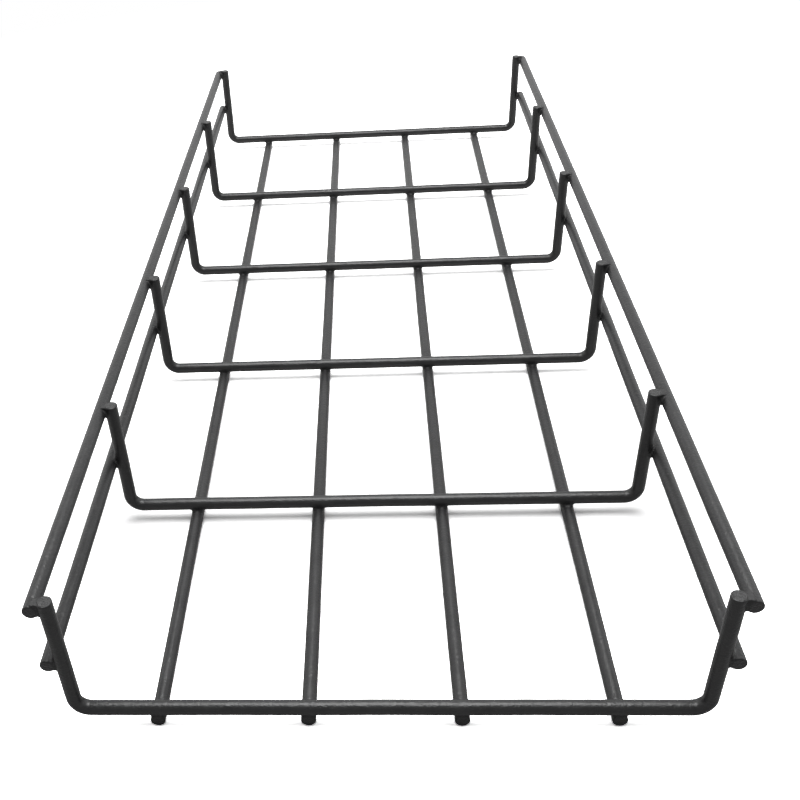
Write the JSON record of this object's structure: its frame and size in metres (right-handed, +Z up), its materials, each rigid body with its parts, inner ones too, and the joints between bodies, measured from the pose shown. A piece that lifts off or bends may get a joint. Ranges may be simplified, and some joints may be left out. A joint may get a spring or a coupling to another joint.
{
  "type": "wire cable tray",
  "caption": "Open-top welded wire basket tray that carries cables under a desk or along a wall; U-shaped cross wires on straight lengthwise wires, black powder coat.",
  "frame": {"origin": "on the resting plane under the four bottom wires, midway between the two ends and the two sides", "axes": "+Z up out of the open top, +Y along the tray from its front end to its back end, +X to the right seen from the front end"},
  "size_m": [0.2182, 0.505, 0.0582],
  "materials": {
    "coated_wire": "satin black powder coat over drawn steel wire, fine orange peel",
    "coated_weld": "satin black powder coat over the weld metal, slightly rougher than on the wire"
  },
  "bodies": {
    "root": {"bottom_wire_1": "coated_wire", "bottom_wire_1_welds": "coated_weld", "bottom_wire_2": "coated_wire", "bottom_wire_2_welds": "coated_weld", "bottom_wire_3": "coated_wire", "bottom_wire_3_welds": "coated_weld", "bottom_wire_4": "coated_wire", "bottom_wire_4_welds": "coated_weld", "cross_wire_1": "coated_wire", "cross_wire_2": "coated_wire", "cross_wire_3": "coated_wire", "cross_wire_4": "coated_wire", "cross_wire_5": "coated_wire", "cross_wire_6": "coated_wire", "left_middle_rail": "coated_wire", "left_middle_rail_welds": "coated_weld", "left_top_rail": "coated_wire", "left_top_rail_welds": "coated_weld", "right_middle_rail": "coated_wire", "right_middle_rail_welds": "coated_weld", "right_top_rail": "coated_wire", "right_top_rail_welds": "coated_weld"}
  },
  "joints": []
}
